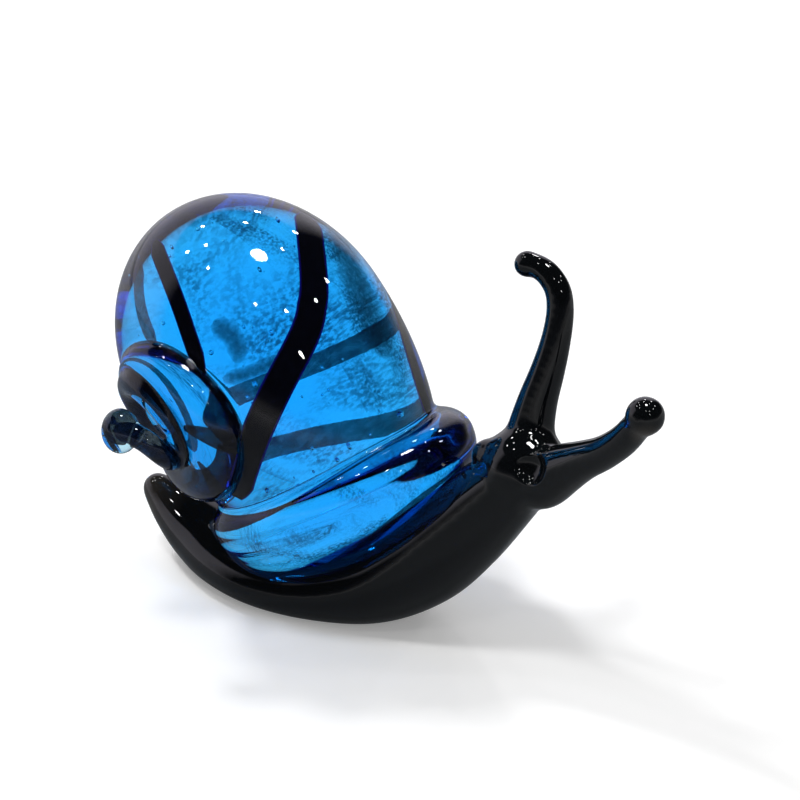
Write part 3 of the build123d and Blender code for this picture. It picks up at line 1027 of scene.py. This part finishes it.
def cane_mesh(place, width, rows, cover, depth):
    """A flat cane just under the main whorl's skin, thinned to its edges."""
    filled = smooth_rows(rows, 10)
    for _ in range(CANE_ROUNDS):
        filled[1:-1] = (filled[:-2] + 2 * filled[1:-1] + filled[2:]) / 4
    spots = [place.skin(along, degrees) for along, degrees in filled]
    heading = unit(np.gradient(np.array([spot[0] for spot in spots]), axis=0))
    rings = []
    thin = []
    for step, (spot, normal) in enumerate(spots):
        side = unit(np.cross(normal, heading[step]))
        end = min(step, len(spots) - 1 - step) / CANE_END_ROWS
        taper = sqrt(min(1.0, CANE_EDGE + end * (1 - CANE_EDGE)))
        top, under, edge = [], [], []
        for k in range(CANE_POINTS):
            out = 2 * k / (CANE_POINTS - 1) - 1
            point = spot + side * (width * MM / 2 * taper * out)
            level, slope = egg_field(place, point[None])
            point = point - slope[0] * (level[0] + cover)
            thick = depth * taper * (CANE_EDGE + (1 - CANE_EDGE) * sqrt(max(1 - out**2, 0.0)))
            top.append(point)
            under.append(point - normal * thick)
            edge.append(max(out**2, 1 - taper))
        thin += edge + edge[::-1]
        rings.append(np.array(top + under[::-1]))
    verts, faces = ring_mesh(rings)
    return verts, faces, thin


def spire_cane_mesh(place, rows, turns, degrees, half_width, cover):
    """A thin cane just under the skin of one of the spire's turns."""
    table = smooth_rows(rows, 12)
    table = table[(table[:, 0] >= turns[0]) & (table[:, 0] <= turns[1])]
    middles, radii = place.winding(table)
    angles = np.radians(table[:, 0])[:, None]
    outward = place.near * np.sin(angles) - place.strap * np.cos(angles)
    lean = np.radians(np.linspace(degrees[0], degrees[1], len(table)))[:, None]
    side = unit(outward * np.cos(lean) - place.out * np.sin(lean))
    ends = np.minimum(np.arange(len(table)), np.arange(len(table))[::-1]) / 6
    thick = half_width * MM * np.sqrt(np.clip(0.1 + ends, 0.0, 1.0))
    path = middles + side * (radii - thick - cover)[:, None]
    verts, faces = rod_mesh(path, thick, 14, place.out)
    return verts, faces, [0.0] * len(verts)


def stripe_piece(name, cane, material):
    """A cane's piece, with a mark that says where it thins out."""
    verts, faces, thin = cane
    piece = new_piece(name, verts, faces, material, "stripe_glass")
    piece.data.attributes.new("thin", "FLOAT", "POINT").data.foreach_set("value", thin)
    return piece


class SNAIL_OT_canes(bpy.types.Operator):
    """Lays the dark canes into the shell's skin"""

    bl_idname = "snail.canes"
    bl_label = "Cane Stripes"

    def execute(self, context):
        size = shell_sizes()
        place = ShellFrame()
        solid_cane = cane_glass("cane_glass")
        sheer_cane = cane_glass("sheer_cane_glass", (0.3, 0.9))
        canes = {}
        for name, (width, rows) in CANES.items():
            canes[name] = cane_mesh(place, width, rows, size.cane_cover, size.cane_depth)
        for name, row in SPIRE_CANES.items():
            canes[name] = spire_cane_mesh(place, *row, size.cane_cover)
        for name, cane in canes.items():
            material = sheer_cane if name in SHEER_CANES else solid_cane
            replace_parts(stripe_piece(name + "_cane", cane, material), name)
        return {"FINISHED"}


def table_material():
    """A white, faintly glossy table top, as white far off as near, with a painted shadow in its mirror
    image near the figurine.
    """
    material = bpy.data.materials.new("white_table")
    material.use_nodes = True
    tree = material.node_tree
    place = node(tree, "TexCoord").outputs["Object"]
    rays = node(tree, "LightPath").outputs
    grain = noise(tree, place, 900.0)
    away = vector_math(tree, "LENGTH", "Value", place)
    white = tuple(colours().table)
    shade = ramp(tree, grain, [(0.3, tuple(value * 0.985 for value in white)), (0.7, white)])
    # Painted shadow: in mirrored rays the table is dark near the figurine and lighter further off
    spread = remap(tree, away, 0.0, 1.0, *PAINTED_SHADE_FADE)
    painted_mirror_shade = ramp(tree, spread, [(0.0, (0.16, 0.17, 0.18)), (1.0, (0.5, 0.5, 0.51))])
    glossy = (rays["Is Glossy Ray"], rays["Is Transmission Ray"])
    shade = mixed(tree, maths(tree, "SUBTRACT", *glossy, use_clamp=True), shade, painted_mirror_shade)
    beyond = maths(tree, "MULTIPLY", remap(tree, away, 0.0, 1.0, *FAR_FADE), rays["Is Camera Ray"])
    surface = {
        "Base Color": shade,
        "Emission Color": mixed(tree, beyond, shade, rgba(FAR_GLOW)),
        "Emission Strength": 0.27,
        "Roughness": remap(tree, grain, 0.3, 0.4),
        "Specular IOR Level": 0.2,
    }
    fill(tree, tree.nodes["Principled BSDF"], surface)
    return material


def room_world():
    """White behind the camera's rays, a white sweep behind the table and a dark room above."""
    world = bpy.data.worlds.new("room")
    bpy.context.scene.world = world
    world.use_nodes = True
    tree = world.node_tree
    tree.nodes.clear()
    way = node(tree, "TexCoord").outputs["Generated"]
    height = remap(tree, node(tree, "SeparateXYZ", {"Vector": way}).outputs["Z"], start=-1.0)
    level = vector_math(tree, "MULTIPLY", "Vector", way, (1.0, 1.0, 0.0))
    heading = vector_math(tree, "NORMALIZE", "Vector", level)
    behind = vector_math(tree, "DOT_PRODUCT", "Value", heading, SWEEP_WAY)
    side = ramp(tree, behind, [(0.40, 0.0), (0.60, 1.0)])
    room = ramp(tree, height, [(0.50, 0.3), (0.54, (0.06, 0.06, 0.07)), (0.60, 0.015)])
    pale, paler = (0.75, 0.72, 0.82), (0.85, 0.83, 0.92)
    sweep = ramp(tree, height, [(0.49, 0.2), (0.50, paler), (0.80, pale), (0.82, 0.015)])
    through = ramp(tree, height, [(0.50, 1.0), (0.66, (0.88, 0.88, 0.9)), (0.80, (0.55, 0.53, 0.6))])
    rays = node(tree, "LightPath").outputs
    shade = mixed(tree, rays["Is Camera Ray"], rgba((0.36, 0.36, 0.355)), rgba(1.0))
    shade = mixed(tree, rays["Is Glossy Ray"], shade, mixed(tree, side, room, sweep))
    shade = mixed(tree, rays["Is Transmission Ray"], shade, through)
    background = node(tree, "Background", {"Color": shade}).outputs["Background"]
    node(tree, "OutputWorld", {"Surface": background})


def add_lamp(name, way, watts, radius, lights_table=True, mirrored=True):
    """A round lamp that faces the figurine."""
    lamp = bpy.data.lights.new(name, "AREA")
    lamp.shape = "DISK"
    lamp.size = 2 * radius
    lamp.energy = watts
    lit = placed(name, lamp)
    way = Vector(way).normalized()
    lit.location = Vector(LAMP_AIM) + way * bpy.context.scene.snail_stage.lamp_distance
    lit.rotation_euler = way.to_track_quat("Z", "Y").to_euler()
    lit.visible_diffuse = lights_table
    lit.visible_glossy = mirrored
    lit.visible_transmission = mirrored


class SNAIL_OT_inclusions(bpy.types.Operator):
    """Puts the streaky veil inside the main whorl, and dark cores of painted shade inside the last turns
    and the end bead
    """

    bl_idname = "snail.inclusions"
    bl_label = "Veil and Dark Cores"

    def execute(self, context):
        place = ShellFrame()
        size = shell_sizes()
        turn = np.radians(np.linspace(*VEIL_SPAN, 60))[:, None]
        stations = np.linspace(*VEIL_ENDS, 40)
        arcs = [place.ring(along, turn, VEIL_LENGTH, VEIL_GIRTH) for along in stations]
        sheet = ring_mesh(arcs, closed=False)
        new_piece("streaky_veil", *sheet, veil_glass("veil_glass", radians(48)), "blue_glass")
        pad = ball_mesh(place.lip_middle, place.lip_axes, place.lip_halves * vec(*LIP_VEIL), 30, 60)
        new_piece("lip_veil", *pad, veil_glass("lip_veil_glass", radians(-34)), "blue_glass")
        soft = cane_glass("smoke_glass", (0.1, 0.9), feather=True)
        for name, (width, rows) in SMOKE.items():
            stripe_piece(name, cane_mesh(place, width, rows, SMOKE_COVER * MM, SMOKE_DEPTH * MM), soft)
        sheer = cane_glass("whorl_smoke_glass", (0.5, 1.0))
        for name, row in SPIRE_SMOKE.items():
            stripe_piece(name, spire_cane_mesh(place, *row, STREAK_COVER * MM), sheer)
        # Painted shade: dark cores along the spire's last turns and in its end bead
        cores = []
        for rows, start, shares in SPIRE_SHADE_CORES:
            table = smooth_rows(rows, 12)
            table = table[table[:, 0] > start]
            middles, radii = place.winding(table)
            cores.append(rod_mesh(middles, radii * np.linspace(*shares, len(table)), 24, place.out))
        bead = place.winding([BEAD_ROW])[0][0] + vec(0, 0, BEAD_SHADE_CORE_RISE) * MM
        reach = vec(size.bead_radius, size.bead_radius, size.bead_half_height) * BEAD_SHADE_CORE
        cores.append(ball_mesh(bead, np.eye(3), reach))
        new_piece("spire_shade_core_cane", *joined(cores), painted_shade_core_glass(), "stripe_glass")
        return {"FINISHED"}


class SNAIL_OT_stage(bpy.types.Operator):
    """Sets the table, the lamps, the room and the camera"""

    bl_idname = "snail.stage"
    bl_label = "Table, Lamps and Camera"

    def execute(self, context):
        stage = context.scene.snail_stage
        corners = ((-1, -1), (1, -1), (1, 1), (-1, 1))
        verts = [(forward * TABLE_REACH, left * TABLE_REACH, 0) for forward, left in corners]
        mesh = new_mesh("table_top", verts, [(0, 1, 2, 3)])
        mesh.materials.append(table_material())
        table = placed("table_top", mesh)
        room_world()
        add_lamp("overhead_lamp", OVERHEAD_WAY, stage.key_power, stage.key_radius, lights_table=False)
        for number, (forward, left) in enumerate(LAMP_PLACES, 1):
            way = (forward, left, 1.0)
            add_lamp(f"small_lamp_{number}", way, stage.small_power, stage.small_radius)
        add_lamp("window_light", WINDOW_WAY, stage.window_power, stage.window_radius, mirrored=False)
        add_lamp("front_window_light", FRONT_WAY, stage.front_power, stage.front_radius, mirrored=False)
        view = bpy.data.cameras.new("camera")
        view.angle = 2 * atan(stage.half_view / stage.distance)
        view.clip_start = 0.01
        camera = placed("camera", view)
        level = cos(stage.elevation)
        back = Vector((sin(stage.azimuth) * level, -cos(stage.azimuth) * level, sin(stage.elevation)))
        camera.location = Vector(LOOK_AT) + back * stage.distance
        camera.rotation_euler = (pi / 2 - stage.elevation, 0.0, stage.azimuth)
        context.scene.camera = camera
        context.scene.view_settings.view_transform = "Standard"
        return {"FINISHED"}


class SNAIL_PT_panel(bpy.types.Panel):
    """Sizes, colours and steps of the glass snail"""

    bl_idname = "SNAIL_PT_panel"
    bl_label = "Glass Snail"
    bl_space_type = "VIEW_3D"
    bl_region_type = "UI"
    bl_category = "Glass Snail"

    def draw(self, context):
        layout = self.layout
        for step in STEPS:
            layout.operator(step.bl_idname)
        for name, group in GROUPS.items():
            box = layout.box()
            box.label(text=group.__doc__)
            for field in group.__annotations__:
                box.prop(getattr(context.scene, name), field)


GROUPS = {
    "snail_body": SnailBodySizes,
    "snail_shell": SnailShellSizes,
    "snail_colours": SnailColours,
    "snail_stage": SnailStage,
}
STEPS = (SNAIL_OT_stage, SNAIL_OT_black_body, SNAIL_OT_shell, SNAIL_OT_canes, SNAIL_OT_inclusions)


def register():
    """Adds the add-on's classes and the scene's settings."""
    for name, group in GROUPS.items():
        bpy.utils.register_class(group)
        setattr(bpy.types.Scene, name, bpy.props.PointerProperty(type=group))
    for step in STEPS:
        bpy.utils.register_class(step)
    bpy.utils.register_class(SNAIL_PT_panel)


def unregister():
    """Takes them away again."""
    bpy.utils.unregister_class(SNAIL_PT_panel)
    for step in reversed(STEPS):
        bpy.utils.unregister_class(step)
    for name, group in GROUPS.items():
        delattr(bpy.types.Scene, name)
        bpy.utils.unregister_class(group)


def main():
    """Builds the pieces and the stage."""
    register()
    bpy.ops.snail.stage()
    bpy.ops.snail.black_body()
    bpy.ops.snail.shell()
    bpy.ops.snail.canes()
    bpy.ops.snail.inclusions()


if __name__ == "__main__":
    main()
